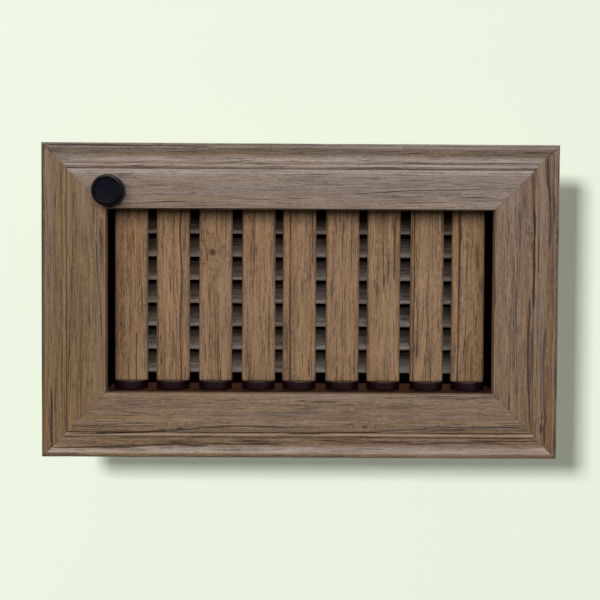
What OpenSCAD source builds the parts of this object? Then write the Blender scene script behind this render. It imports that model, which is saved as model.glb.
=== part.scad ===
// Wooden air vent for the end of a rectangular duct: a mitred, moulded frame with a
// neck of thin boards, a front row of upright blades that steer the air, and a rear
// row of level slats that meter it, worked together by a small knob on the frame.
// Millimetres. +Z is up, the room is on the -Y side and the wall plane is y = 0.

/* [Duct] */
// Outside width of the neck, the nominal width of the duct
duct_w = 400; // [360:1:460]
// Outside height of the neck, the nominal height of the duct
duct_h = 200; // [190:1:240]
// Thickness of the neck's boards
neck_wall = 3; // [2.5:0.1:4]
// How far the neck runs on behind the rear slats' sweep
neck_margin = 3.2; // [2:0.1:20]

/* [Frame] */
// Width of each moulded rail, from its outer to its inner edge
rail_w = 65; // [61:1:80]
// Thickness of a rail at its flat face
rail_t = 18; // [17:0.5:24]
// How far each stile's inner edge stands inside the neck's side board
side_lip = 6.5; // [5.5:0.1:8.5]
// How far the top rail's inner edge hangs below the neck's top board
top_lip = 13; // [11:0.1:14]
// How deep the neck is let into the frame's back
seat_depth = 9; // [7:0.1:9]
// Radius of the rails' rounded inner edge
inner_edge_r = 2.4; // [1:0.1:4]
// Radius of the rails' rounded outer edge
outer_edge_r = 1.5; // [0.5:0.1:2.5]

/* [Moulding] */
// Radius of the wide hollow behind the outer ridge
cove_r = 9; // [7.5:0.1:9.5]
// Distance of the hollow's middle from the outer edge
cove_s = 10.8; // [10.5:0.1:11]
// Wood left under the hollow's middle
cove_floor = 8.2; // [7:0.1:9]
// Height of the outer ridge above the wall
ridge_h = 11.3; // [10.8:0.1:12]
// Width of the narrow groove on each side of the bead
quirk_w = 1.3; // [0.8:0.1:1.6]
// Depth of those grooves below the bead's foot
quirk_depth = 0.9; // [0.4:0.1:1.5]
// Radius of the small bead
bead_r = 1.8; // [1.2:0.1:2]
// Radius of the quarter round that rises to the flat face
ovolo_r = 6.2; // [5:0.1:6.5]

/* [Front blades] */
// Number of upright blades
front_count = 9; // [7:1:9]
// Width of an upright blade, and diameter of its end caps
front_w = 34; // [28:0.5:35]
// Thickness of an upright blade
front_t = 7; // [6:0.5:9]
// Space between the neck's side and the first blade
front_end_gap = 8; // [7:0.1:12]
// Setback of the end caps behind the wall plane
cap_setback = 2; // [1:0.5:10]
// Thickness of an upright blade's end cap
cap_t = 6.5; // [5:0.1:9]

/* [Rear slats] */
// Number of level slats
rear_count = 7; // [5:1:7]
// Distance between the neck's top or bottom board and the nearest slat's pivot
rear_end = 24.1; // [22:0.1:28]
// How far neighbouring slats lap when they are closed
rear_lap = 1.2; // [0.4:0.1:1.6]
// Thickness of a level slat
rear_t = 4; // [3.5:0.1:4.5]
// Lean of the slats out of the upright, lower edge to the room
rear_tilt = 39; // [32:1:46]
// Space between the front blades' sweep and the open slats
row_gap = 1.3; // [0.8:0.1:6]

/* [Linkage] */
// Length of the knob's crank and of each slat's arm
link_r = 8; // [7.8:0.1:8.5]
// Angle of crank and arms above the level at rest
link_angle = 11.5; // [8:0.5:15]
// Thickness of the link bar's sheet
bar_t = 2; // [1.5:0.1:2]
// Width of the link bar's upright limb
bar_w = 7; // [6.5:0.1:7.2]
// Thickness of a slat's arm and end plate
arm_t = 3.5; // [3:0.1:4.5]

/* [Knob] */
// Diameter of the knob
knob_d = 31; // [28:0.5:32]
// Height of the knob from back to face
knob_h = 15; // [13:0.5:20]
// Distance of the knob's axis inside the line of the opening's side
knob_inset = 4.2; // [3:0.1:5]
// Height of the knob's axis above the opening
knob_rise = 16.2; // [16:0.1:18]
// Diameter of the knob's shaft
shaft_d = 6; // [5:0.5:6.5]
// Diameter of the inlaid disc in the knob's face
inlay_d = 22.8; // [18:0.1:24]

/* [Pins and screws] */
// Diameter of the pivot pins
pin_d = 4; // [3:0.1:4.2]
// Radial clearance of a pin that turns in its hole
turn_fit = 0.05; // [0.02:0.01:0.1]
// Radial clearance of a piece that is glued or pressed in
seat_fit = 0.02; // [0.01:0.01:0.05]
// Gap between an end cap and the board that it turns on
cap_gap = 0.3; // [0.2:0.05:0.6]
// Diameter of the wood screws' shanks
screw_d = 3; // [2.5:0.1:3.5]
// Length of the wood screws
screw_l = 16; // [12:0.5:20]
// Diameter of the holes for fixing the neck to a duct
fix_d = 4.5; // [3.5:0.1:6]
// Distance between the two fixing holes in each side board
fix_pitch = 90; // [60:1:110]
// Distance of those holes behind the wall plane
fix_setback = 12; // [8:0.5:16]

/* [Hidden] */
inner_w = duct_w - 2 * neck_wall;
inner_h = duct_h - 2 * neck_wall;
opening_w = inner_w - 2 * side_lip;
opening_h = inner_h - top_lip;
frame_w = opening_w + 2 * rail_w;
frame_h = opening_h + 2 * rail_w;
neck_z = top_lip / 2;
floor_z = neck_z - inner_h / 2;
ceiling_z = neck_z + inner_h / 2;

// Upright row: small differences in how the pivots were drilled
front_drift = [-0.2, -0.5, -0.1, 0.8, -0.6, 0.4, -0.5, 0.7, -0.2];
front_y = cap_setback + front_w / 2;
front_pitch = (inner_w - 2 * front_end_gap - front_w) / (front_count - 1);
blade_foot_z = floor_z + cap_gap + cap_t;
blade_head_z = ceiling_z - cap_gap - cap_t;
tongue_edge = 6.8;
tongue_skin = 1.925;
tongue_w = front_w - 2 * tongue_edge;
tongue_t = front_t - 2 * tongue_skin;
tongue_l = 9;
tongue_gap = 0.5;
cap_edge = 0.8;
pin_short = 0.2;

// Level row: the slats share the neck's height and lap when they are closed
rear_pitch = (inner_h - 2 * rear_end) / (rear_count - 1);
rear_w = rear_pitch + rear_lap;
rear_y = front_y + front_w / 2 + row_gap + rear_w / 2;
neck_back = rear_y + rear_w / 2 + neck_margin;
bar_gap = 0.8;
arm_gap = 0.5;
rear_half = inner_w / 2 - bar_gap - bar_t - arm_gap - arm_t;
plate_over = 0.5;
rear_tongue_edge = 5.7375;
rear_tongue_skin = 1.2;
rear_tongue_w = rear_w - 2 * rear_tongue_edge;
rear_tongue_t = rear_t - 2 * rear_tongue_skin;
rear_tongue_l = 6;
arm_w = 7;
shoulder_d = 7;

// Link bar and crank. The slats close by 28 degrees and open by 51 from rest.
close_turn = 28;
open_turn = 51;
bar_left = -inner_w / 2 + bar_gap;
bar_y = rear_y + link_r * cos(link_angle);
bar_rise = link_r * (sin(link_angle + close_turn) - sin(link_angle));
bar_back = link_r * (cos(link_angle) - cos(open_turn - link_angle));
bar_foot = 0.5;
limb_h = 8;
limb_gap = 3;
limb_top = ceiling_z - bar_rise - limb_gap;
knob_x = -opening_w / 2 + knob_inset;
knob_z = opening_h / 2 + knob_rise;
pocket_gap = 0.4;
pocket_room = 1.5;
crank_t = 2;
crank_wall = 2;
crank_hub_d = shaft_d + 2 * crank_wall;
crank_pin_wall = 1.5;
crank_end_d = pin_d + 2 * crank_pin_wall;
crank_set = 0.1;
crank_front = -seat_depth - crank_set;
yoke_front = crank_front + crank_t + bar_back + pocket_gap;
yoke_back = yoke_front + bar_t;
pin_over = 0.8;
yoke_pin_end = yoke_back + pin_over;
yoke_z = knob_z + link_r * sin(link_angle);
yoke_land = 2.4;
yoke_h = pin_d + 2 * turn_fit + 2 * yoke_land;
slot_play = 0.3;
slot_left = knob_x + link_r * cos(link_angle + close_turn) - pin_d / 2 - slot_play;
slot_right = knob_x + link_r + pin_d / 2 + slot_play;
yoke_right = slot_right + yoke_land;
stem_gap = 0.9;
stem_w = side_lip - bar_gap - stem_gap;
bend_r = 0.9 * bar_t;
pocket_right = max(yoke_right, knob_x + link_r + crank_end_d / 2) + pocket_room;
pocket_top = max(yoke_z + yoke_h / 2 + bar_rise, knob_z + link_r * sin(link_angle + close_turn)
    + crank_end_d / 2) + pocket_room;
pocket_over = 0.5;
pocket_depth = seat_depth + pocket_over;
notch_room = 1;
notch_back = yoke_pin_end + notch_room;

// Knob and shaft
bush_wall = 2;
bush_d = shaft_d + 2 * bush_wall;
bush_rim = 2;
bush_flange_d = bush_d + 2 * bush_rim;
bush_flange_t = 1.2;
knob_gap = 0.3;
knob_back = -rail_t - bush_flange_t - knob_gap;
knob_face = knob_back - knob_h;
knob_round = 3;
knob_foot = 1;
inlay_t = 2;
inlay_crown = 0.8;
inlay_sink = 1.2;
inlay_seat = knob_face + inlay_sink + inlay_t;
knob_screw_d = 3;
knob_screw_head_d = 5.5;
knob_screw_head_t = 2;
screw_pocket_d = 7;
screw_pocket_t = 2.6;
knob_web = 1.6;
shaft_front = inlay_seat + screw_pocket_t + knob_web;
knob_screw_grip = 6;

// Corner nails and screws
nail_leg = 7;
nail_t = 0.8;
nail_l = 9;
nail_sink = 0.1;
nail_fit = 0.05;
nail_places = [0.4, 0.72];
screw_y = -seat_depth / 2;
screw_head_d = 2 * screw_d;
screw_head_t = 2;
side_screw_dz = 62;
top_screw_x = [-110, 0, 110];

over = 1;
eps = 0.01;

function front_x(i) = (i - 1 - (front_count - 1) / 2) * front_pitch + front_drift[i - 1];
function rear_z(i) = neck_z + ((rear_count + 1) / 2 - i) * rear_pitch;

// Turns a shape drawn in X and Y and raised along Z to run along Y, with its Y up
module along_y(y0, y1) {
    translate([0, y1, 0]) rotate([90, 0, 0]) linear_extrude(y1 - y0) children();
}

// Turns a shape drawn in X and Y and raised along Z to run along X: its X lies on Y and its Y up
module along_x(x0, x1) {
    translate([x0, 0, 0]) rotate([90, 0, 90]) linear_extrude(x1 - x0) children();
}

// Round bar along Y
module rod_y(d, y0, y1) {
    translate([0, y1, 0]) rotate([90, 0, 0]) cylinder(d = d, h = y1 - y0, $fn = 48);
}

// Round bar along X
module rod_x(d, x0, x1) {
    translate([x0, 0, 0]) rotate([0, 90, 0]) cylinder(d = d, h = x1 - x0, $fn = 48);
}

// Flat section with fully rounded edges
module stadium(w, t) {
    square([w - t, t], center = true);
    for (side = [-1, 1]) translate([side * (w - t) / 2, 0]) circle(d = t, $fn = 32);
}

// Square corner less the quarter circle that rounds it, at the shape's own corner
module corner_waste(r) {
    difference() {
        translate([-r, -r]) square([r + over, r + over]);
        translate([-r, -r]) circle(r = r, $fn = 48);
    }
}

// Section of the moulding: X from the outer edge inward, Y out of the wall.
// Outer ridge, wide hollow, groove, bead, groove, quarter round and flat face.
module rail_section() {
    cove_y = cove_floor + cove_r;
    cove_end = cove_s + sqrt(pow(cove_r, 2) - pow(cove_y - ridge_h, 2));
    bead_s = cove_end + quirk_w + bead_r;
    ovolo_s = bead_s + bead_r + quirk_w;
    face_s = ovolo_s + ovolo_r;
    foot_y = rail_t - ovolo_r;
    difference() {
        union() {
            square([ovolo_s + over, ridge_h]);
            translate([bead_s, ridge_h]) circle(r = bead_r, $fn = 40);
            translate([face_s, 0]) square([rail_w - face_s, rail_t]);
            translate([ovolo_s, 0]) square([ovolo_r + eps, foot_y]);
            intersection() {
                translate([face_s, foot_y]) circle(r = ovolo_r, $fn = 64);
                translate([ovolo_s, foot_y - over]) square([ovolo_r + eps, ovolo_r + 2 * over]);
            }
        }
        translate([cove_s, cove_y]) circle(r = cove_r, $fn = 96);
        for (s = [cove_end, bead_s + bead_r])
            translate([s, ridge_h - quirk_depth]) square([quirk_w, quirk_depth + over]);
        translate([rail_w, rail_t]) corner_waste(inner_edge_r);
        translate([0, ridge_h]) mirror([1, 0]) corner_waste(outer_edge_r);
    }
}

// Straight rail with mitred ends, outer edge on z = 0 and inner edge above it
module mitred_rail(length) {
    intersection() {
        rotate([0, 0, 180]) rotate([0, -90, 0]) translate([0, 0, -length / 2])
            linear_extrude(length) rail_section();
        along_y(-rail_t - over, over) polygon([
            [-length / 2, 0], [length / 2, 0],
            [length / 2 - rail_w, rail_w], [-length / 2 + rail_w, rail_w]
        ]);
    }
}

// Space of the neck's front end, let into the back of the rails
module neck_seat() {
    translate([-duct_w / 2 - seat_fit, -seat_depth, neck_z - duct_h / 2 - seat_fit])
        cube([duct_w + 2 * seat_fit, seat_depth + over, duct_h + 2 * seat_fit]);
}

// Room for the crank and the yoke, routed into the back of the top rail
module crank_pocket() {
    translate([-inner_w / 2, -pocket_depth, ceiling_z - top_lip])
        cube([pocket_right + inner_w / 2, pocket_depth + over, pocket_top - ceiling_z + top_lip]);
}

// One corner nail: an angle of steel strip driven across the mitre, legs along X and -Z
module corner_nail(fit) {
    leg = nail_leg + nail_t / 2 + 2 * fit;
    strip = nail_t + 2 * fit;
    depth = nail_l - nail_sink + (fit > 0 ? fit + over : 0);
    translate([-strip / 2, -nail_l - fit, strip / 2 - leg]) cube([strip, depth, leg]);
    translate([-strip / 2, -nail_l - fit, -strip / 2]) cube([leg, depth, strip]);
}

// Both nails of every corner, on the mitre line
module nail_set(fit) {
    for (sx = [-1, 1], sz = [-1, 1], place = nail_places) {
        turn = sx < 0 ? (sz > 0 ? 0 : -90) : (sz > 0 ? 90 : 180);
        translate([sx * (frame_w / 2 - rail_w * place), 0, sz * (frame_h / 2 - rail_w * place)])
            rotate([0, turn, 0]) corner_nail(fit);
    }
}

// Countersunk wood screw along +X, its head's face on x = 0
module wood_screw(fit, extra) {
    head_d = screw_head_d + 2 * fit;
    if (extra > 0) rod_x(head_d, -extra, eps);
    rotate([0, 90, 0]) cylinder(d1 = head_d, d2 = screw_d + 2 * fit, h = screw_head_t, $fn = 48);
    rod_x(screw_d + 2 * fit, screw_head_t - eps, screw_l + fit);
}

// Every screw that holds the neck in the frame: two in each side board, three in the top board
module screw_set(fit, extra) {
    for (sz = [-1, 1]) {
        translate([inner_w / 2, screw_y, neck_z + sz * side_screw_dz]) wood_screw(fit, extra);
        translate([-inner_w / 2, screw_y, neck_z + sz * side_screw_dz])
            rotate([0, 0, 180]) wood_screw(fit, extra);
    }
    for (x = top_screw_x)
        translate([x, screw_y, ceiling_z]) rotate([0, -90, 0]) wood_screw(fit, extra);
}

module frame_top() {
    color("#80705f") difference() {
        translate([0, 0, frame_h / 2]) rotate([0, 180, 0]) mitred_rail(frame_w);
        neck_seat();
        crank_pocket();
        nail_set(nail_fit);
        screw_set(seat_fit, 0);
        translate([knob_x, 0, knob_z]) rod_y(bush_d + 2 * seat_fit, -rail_t - over, 0);
    }
}

module frame_bottom() {
    color("#7a664f") difference() {
        translate([0, 0, -frame_h / 2]) mitred_rail(frame_w);
        neck_seat();
        nail_set(nail_fit);
    }
}

module frame_left() {
    color("#78624a") difference() {
        translate([-frame_w / 2, 0, 0]) rotate([0, 90, 0]) mitred_rail(frame_h);
        neck_seat();
        nail_set(nail_fit);
        screw_set(seat_fit, 0);
    }
}

module frame_right() {
    color("#705b45") difference() {
        translate([frame_w / 2, 0, 0]) rotate([0, -90, 0]) mitred_rail(frame_h);
        neck_seat();
        nail_set(nail_fit);
        screw_set(seat_fit, 0);
    }
}

module corner_nails() {
    color("silver") nail_set(0);
}

// Board across the neck, between the side boards, drilled for the upright blades' pins
module cross_board(z) {
    difference() {
        translate([-inner_w / 2, -seat_depth, z]) cube([inner_w, neck_back + seat_depth, neck_wall]);
        for (i = [1:front_count])
            translate([front_x(i), front_y, z - over])
                cylinder(d = pin_d + 2 * turn_fit, h = neck_wall + 2 * over, $fn = 48);
    }
}

module neck_top() {
    color("#1b1a1c") difference() {
        cross_board(ceiling_z);
        translate([-inner_w / 2 - over, -seat_depth - over, ceiling_z - over])
            cube([pocket_right + inner_w / 2 + over, notch_back + seat_depth + over, neck_wall + 2 * over]);
        screw_set(seat_fit, over);
    }
}

module neck_bottom() {
    color("#1b1a1c") cross_board(floor_z - neck_wall);
}

// Side board of the neck, drilled for the slats' pivots and for fixing to the duct
module side_board(x) {
    difference() {
        translate([x, -seat_depth, neck_z - duct_h / 2]) cube([neck_wall, neck_back + seat_depth, duct_h]);
        for (i = [1:rear_count])
            translate([x, rear_y, rear_z(i)]) rod_x(pin_d + 2 * turn_fit, -over, neck_wall + over);
        for (sz = [-1, 1])
            translate([x, fix_setback, neck_z + sz * fix_pitch / 2]) rod_x(fix_d, -over, neck_wall + over);
        screw_set(seat_fit, over);
    }
}

module neck_left() {
    color("#1b1a1c") side_board(-duct_w / 2);
}

module neck_right() {
    color("#1b1a1c") side_board(inner_w / 2);
}

module neck_screws() {
    color("dimgray") screw_set(0, 0);
}

// Upright blade: a flat bar with fully rounded edges and a slot in each end for the cap's tongue
module front_blade(i) {
    color("#80664d") difference() {
        translate([front_x(i), front_y, blade_foot_z])
            linear_extrude(blade_head_z - blade_foot_z) stadium(front_w, front_t);
        for (z = [blade_foot_z - over, blade_head_z - tongue_l - tongue_gap])
            translate([front_x(i), front_y, z]) linear_extrude(tongue_l + tongue_gap + over)
                square([tongue_w + 2 * seat_fit, tongue_t + 2 * seat_fit], center = true);
    }
}

// Round end cap with its pivot pin below and its tongue above, on z = 0
module front_cap() {
    r = front_w / 2;
    rotate_extrude($fn = 96) polygon([
        [0, 0], [r - cap_edge, 0], [r, cap_edge], [r, cap_t - cap_edge], [r - cap_edge, cap_t], [0, cap_t]
    ]);
    translate([0, 0, -cap_gap - neck_wall + pin_short])
        cylinder(d = pin_d, h = cap_gap + neck_wall - pin_short + eps, $fn = 48);
    translate([0, 0, cap_t - eps]) linear_extrude(tongue_l + eps) square([tongue_w, tongue_t], center = true);
}

module front_caps(i) {
    color("#231a1f") {
        translate([front_x(i), front_y, floor_z + cap_gap]) front_cap();
        translate([front_x(i), front_y, ceiling_z - cap_gap]) rotate([0, 180, 0]) front_cap();
    }
}

// Places a slat's own section at its pivot: the drawn X runs up the slat's width
module at_slat(i) {
    translate([0, rear_y, rear_z(i)]) rotate([-rear_tilt, 0, 0]) children();
}

// Level slat: a flat strip with fully rounded edges and a slot in each end
module rear_slat(i) {
    color("#7c6a58") at_slat(i) difference() {
        along_x(-rear_half, rear_half) rotate([0, 0, 90]) stadium(rear_w, rear_t);
        for (x = [-rear_half - over, rear_half - rear_tongue_l - tongue_gap])
            along_x(x, x + rear_tongue_l + tongue_gap + over) rotate([0, 0, 90])
                square([rear_tongue_w + 2 * seat_fit, rear_tongue_t + 2 * seat_fit], center = true);
    }
}

// End plate of a slat, with its tongue; side is -1 at the left end and 1 at the right
module end_plate(side) {
    plate_x = side > 0 ? rear_half : -rear_half - arm_t;
    tongue_x = side > 0 ? rear_half - rear_tongue_l : -rear_half - eps;
    along_x(plate_x, plate_x + arm_t) rotate([0, 0, 90])
        stadium(rear_w + 2 * plate_over, rear_t + 2 * plate_over);
    along_x(tongue_x, tongue_x + rear_tongue_l + eps) rotate([0, 0, 90])
        square([rear_tongue_w, rear_tongue_t], center = true);
}

// Left end of a slat: end plate, pivot pin and the arm whose pin works in the link bar
module rear_arm(i) {
    plate_left = -rear_half - arm_t;
    color("#1e1c1f") {
        at_slat(i) end_plate(-1);
        translate([0, rear_y, rear_z(i)]) {
            rod_x(pin_d, -inner_w / 2 - neck_wall + pin_short, plate_left + eps);
            rotate([link_angle, 0, 0]) {
                along_x(plate_left, -rear_half) {
                    translate([0, -arm_w / 2]) square([link_r, arm_w]);
                    translate([link_r, 0]) circle(d = arm_w, $fn = 48);
                }
                translate([0, link_r, 0]) rod_x(pin_d, bar_left - bar_gap / 2, plate_left + eps);
            }
        }
    }
}

// Right end of a slat: end plate, thrust shoulder and pivot pin
module rear_pivot(i) {
    plate_right = rear_half + arm_t;
    color("#1e1c1f") {
        at_slat(i) end_plate(1);
        translate([0, rear_y, rear_z(i)]) {
            rod_x(shoulder_d, plate_right - eps, inner_w / 2 - cap_gap);
            rod_x(pin_d, plate_right - eps, inner_w / 2 + neck_wall - pin_short);
        }
    }
}

// Folded link bar: an upright limb pinned to every arm, a level limb that runs forward below
// the neck's top board, and a yoke, folded across, whose slot takes the crank's pin
module link_bar() {
    pin_rise = link_r * sin(link_angle);
    foot_z = rear_z(rear_count) + pin_rise - bar_w / 2 - bar_foot;
    color("#242325") {
        difference() {
            translate([bar_left, bar_y - bar_w / 2, foot_z]) cube([bar_t, bar_w, limb_top - foot_z]);
            for (i = [1:rear_count])
                translate([bar_left, bar_y, rear_z(i) + pin_rise])
                    rod_x(pin_d + 2 * turn_fit, -over, bar_t + over);
        }
        translate([bar_left, yoke_back - eps, limb_top - limb_h])
            cube([bar_t, bar_y - yoke_back, limb_h]);
        difference() {
            along_y(yoke_front, yoke_back) difference() {
                union() {
                    translate([bar_left, limb_top - limb_h])
                        square([stem_w, yoke_z + yoke_h / 2 - limb_top + limb_h]);
                    translate([bar_left, yoke_z - yoke_h / 2]) square([yoke_right - bar_left, yoke_h]);
                }
                yoke_slot();
            }
            translate([bar_left, yoke_front, limb_top - limb_h - over])
                linear_extrude(yoke_z + yoke_h) rotate(180) corner_waste(bend_r);
        }
    }
}

// Level slot with round ends for the crank's pin
module yoke_slot() {
    slot_h = pin_d + 2 * turn_fit;
    translate([slot_left + slot_h / 2, yoke_z - slot_h / 2])
        square([slot_right - slot_left - slot_h, slot_h]);
    for (x = [slot_left, slot_right - slot_h])
        translate([x + slot_h / 2, yoke_z]) circle(d = slot_h, $fn = 48);
}

// Turned knob: rounded rim, shallow seat for the inlay, pocket for the screw and a blind bore
module knob() {
    r = knob_d / 2;
    n = 10;
    rim = [for (k = [0:n]) [r - knob_round + knob_round * sin(90 * k / n),
        knob_h - knob_round + knob_round * cos(90 * k / n)]];
    color("#17161a") translate([knob_x, knob_back, knob_z]) rotate([90, 0, 0]) difference() {
        rotate_extrude($fn = 96) polygon(concat(
            [[0, 0], [r - knob_foot, 0], [r, knob_foot]],
            [for (k = [n:-1:0]) rim[k]],
            [[0, knob_h]]
        ));
        translate([0, 0, -over])
            cylinder(d = shaft_d + 2 * seat_fit, h = knob_back - shaft_front + over, $fn = 48);
        translate([0, 0, knob_back - shaft_front - over])
            cylinder(d = knob_screw_d + 2 * seat_fit, h = knob_h, $fn = 32);
        translate([0, 0, knob_back - inlay_seat - screw_pocket_t])
            cylinder(d = screw_pocket_d, h = knob_h, $fn = 48);
        translate([0, 0, knob_back - inlay_seat])
            cylinder(d = inlay_d + 2 * seat_fit, h = knob_h, $fn = 96);
    }
}

// Inlaid disc that hides the knob's screw, slightly crowned
module knob_inlay() {
    r = inlay_d / 2;
    n = 8;
    color("#1c1b22") translate([knob_x, inlay_seat, knob_z]) rotate([90, 0, 0])
        rotate_extrude($fn = 96) polygon(concat(
            [[0, 0], [r, 0]],
            [for (k = [0:n]) [r * (1 - k / n), inlay_t - inlay_crown * pow(1 - k / n, 2)]]
        ));
}

// Machine screw through the knob into the shaft's end
module knob_screw() {
    head_back = inlay_seat + screw_pocket_t;
    color("silver") translate([knob_x, 0, knob_z]) {
        rod_y(knob_screw_head_d, head_back - knob_screw_head_t, head_back);
        rod_y(knob_screw_d, head_back - eps, shaft_front + knob_screw_grip);
    }
}

module knob_shaft() {
    color("silver") translate([knob_x, 0, knob_z]) difference() {
        rod_y(shaft_d, shaft_front, crank_front + crank_t);
        rod_y(knob_screw_d + 2 * seat_fit, shaft_front - over, shaft_front + knob_screw_grip + over);
    }
}

// Flanged bush, pressed through the top rail from the front
module shaft_bush() {
    color("#c9a55a") translate([knob_x, 0, knob_z]) difference() {
        union() {
            rod_y(bush_flange_d, -rail_t - bush_flange_t, -rail_t);
            rod_y(bush_d, -rail_t - eps, -pocket_depth);
        }
        rod_y(shaft_d + 2 * turn_fit, -rail_t - bush_flange_t - over, over);
    }
}

// Crank on the shaft's back end, with the pin that works in the yoke
module crank_arm() {
    color("silver") translate([knob_x, 0, knob_z]) rotate([0, -link_angle, 0]) {
        along_y(crank_front, crank_front + crank_t) difference() {
            union() {
                circle(d = crank_hub_d, $fn = 48);
                translate([0, -crank_end_d / 2]) square([link_r, crank_end_d]);
                translate([link_r, 0]) circle(d = crank_end_d, $fn = 48);
            }
            circle(d = shaft_d + 2 * seat_fit, $fn = 48);
        }
        translate([link_r, 0, 0]) rod_y(pin_d, crank_front + crank_t - eps, yoke_pin_end);
    }
}

frame_top();
frame_bottom();
frame_left();
frame_right();
corner_nails();
neck_top();
neck_bottom();
neck_left();
neck_right();
neck_screws();
for (i = [1:front_count]) {
    front_blade(i);
    front_caps(i);
}
for (i = [1:rear_count]) {
    rear_slat(i);
    rear_arm(i);
    rear_pivot(i);
}
link_bar();
knob();
knob_inlay();
knob_screw();
knob_shaft();
shaft_bush();
crank_arm();
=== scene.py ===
import math

import bmesh
import bpy
import numpy as np
from mathutils import Matrix, Vector


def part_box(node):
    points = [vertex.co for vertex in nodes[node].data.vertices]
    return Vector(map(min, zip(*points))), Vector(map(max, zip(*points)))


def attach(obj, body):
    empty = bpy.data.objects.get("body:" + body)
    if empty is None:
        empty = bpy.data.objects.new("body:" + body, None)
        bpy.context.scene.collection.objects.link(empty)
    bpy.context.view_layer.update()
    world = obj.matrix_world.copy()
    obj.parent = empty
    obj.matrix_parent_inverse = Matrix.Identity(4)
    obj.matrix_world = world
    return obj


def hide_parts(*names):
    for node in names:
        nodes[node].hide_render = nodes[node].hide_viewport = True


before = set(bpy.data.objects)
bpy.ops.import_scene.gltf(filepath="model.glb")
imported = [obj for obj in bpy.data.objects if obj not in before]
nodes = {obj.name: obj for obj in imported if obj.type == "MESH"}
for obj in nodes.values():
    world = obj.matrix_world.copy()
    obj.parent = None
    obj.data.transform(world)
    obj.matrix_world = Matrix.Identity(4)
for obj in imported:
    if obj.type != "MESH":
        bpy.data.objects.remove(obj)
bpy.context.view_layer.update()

bpy.context.scene.view_settings.view_transform = "Standard"


# The camera stands level in front of the vent, a little left of its middle and a hand above
# it, and looks down by a degree and a half. Its lens is about as long as a portrait lens.
camera_place = Vector((-0.0034, -0.868, 0.0246))
camera_yaw, camera_pitch, camera_roll = (math.radians(a) for a in (0.22, -1.55, 0.32))
ahead = Vector((
    math.sin(camera_yaw) * math.cos(camera_pitch),
    math.cos(camera_yaw) * math.cos(camera_pitch),
    math.sin(camera_pitch),
))
level = Vector((math.cos(camera_yaw), -math.sin(camera_yaw), 0))
upward = level.cross(ahead)
camera_x = level * math.cos(camera_roll) + upward * math.sin(camera_roll)
camera_y = upward * math.cos(camera_roll) - level * math.sin(camera_roll)
lens = bpy.data.cameras.new("view_lens")
lens.lens = 51.99
lens.sensor_width = 36
camera = bpy.data.objects.new("view_camera", lens)
camera.matrix_world = Matrix.Translation(camera_place) @ Matrix(
    (camera_x, camera_y, -ahead)).transposed().to_4x4()
bpy.context.scene.collection.objects.link(camera)
bpy.context.scene.camera = camera


# The four rails of the frame: mitred lengths of one moulding under a weathered-oak foil, glued
# at the mitres. Their backs are routed for the neck, and the top one for the crank as well.
frame_low, frame_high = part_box("frame_top")[0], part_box("frame_top")[1]
frame_half_w, frame_half_h = frame_high.x, frame_high.z
rail_w = frame_high.z - frame_low.z
rail_t = -frame_low.y
ridge_h, outer_edge_r, inner_edge_r = 0.0126, 0.0015, 0.0014
hollow = np.array([(4.7, 12.6), (9.2, 9.5), (11.2, 8.2), (13.3, 8.4), (16.7, 9.3)]) / 1000
step_w, step_rise, groove_w, groove_h, bead_r, bead_top = 0.0033, 0.0001, 0.0011, 0.0096, 0.0034, 0.0149
ledge_w, ovolo_foot, ovolo_rise, ovolo_w = 0.0004, 0.0136, 0.0034, 0.0057
# Place and width of the painted sheen on the bead.
bead_sheen_s, bead_sheen_w = 0.0233, 0.0011


def arc(middle_s, middle_h, radius, start, end):
    """Arc of a circle in the section: middle plus radius times (cosine, sine) of the angle."""
    angle = np.radians(np.linspace(start, end, 40))
    return np.stack([middle_s + radius * np.cos(angle), middle_h + radius * np.sin(angle)], 1)


def rail_outline():
    """Closed section of the moulding, (distance from the outer edge, height off the wall): side,
    outer ridge, hollow (a straight slope, then a cubic Bezier curve), step, groove, bead, ledge,
    ovolo (a quarter of an ellipse, then a gentle slope), flat face, inner side."""
    u = np.linspace(0, 1, 60)[:, None]
    one, two, three, four = hollow[1:]
    curve = (1 - u) ** 3 * one + 3 * u * (1 - u) ** 2 * two + 3 * u ** 2 * (1 - u) * three + u ** 3 * four
    step_s, step_h = four + (step_w, step_rise)
    bead_s = step_s + 0.0004 + groove_w + bead_r * math.cos(math.radians(68))
    bead_h = bead_top - bead_r
    bead_end = math.degrees(math.asin((ovolo_foot - bead_h) / bead_r))
    bead = arc(bead_s, bead_h, bead_r, 112, bead_end)
    ovolo_s = bead[-1, 0] + ledge_w
    ovolo = arc(0, 0, 1, 180, 100) * (0.0009, ovolo_rise) + (ovolo_s + 0.0009, ovolo_foot)
    return np.concatenate([
        [(0, 0)],
        arc(outer_edge_r, ridge_h - outer_edge_r, outer_edge_r, 180, 90),
        hollow[:1], curve,
        [(step_s, step_h), (step_s + 0.0004, groove_h), (bead[0, 0], groove_h)],
        bead,
        ovolo, [(ovolo_s + ovolo_w, rail_t)],
        arc(rail_w - inner_edge_r, rail_t - inner_edge_r, inner_edge_r, 90, 0),
        [(rail_w, 0), (0, 0)],
    ])


def eased(outline, softness, fineness=0.00005):
    """A closed outline in small equal steps, its corners eased: each coordinate is averaged
    along the outline under a bell curve as wide as the softness."""
    step = np.linalg.norm(np.diff(outline, axis=0), axis=1)
    run = np.concatenate([[0], np.cumsum(step)])
    count = int(run[-1] / fineness)
    even = np.arange(count) * run[-1] / count
    points = np.stack([np.interp(even, run, outline[:, k]) for k in (0, 1)], 1)
    frequency = np.fft.rfftfreq(count, run[-1] / count)
    bell = np.exp(-2 * (math.pi * softness * frequency) ** 2)[:, None]
    return np.fft.irfft(np.fft.rfft(points, axis=0) * bell, count, axis=0), run[-1] / count


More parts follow.
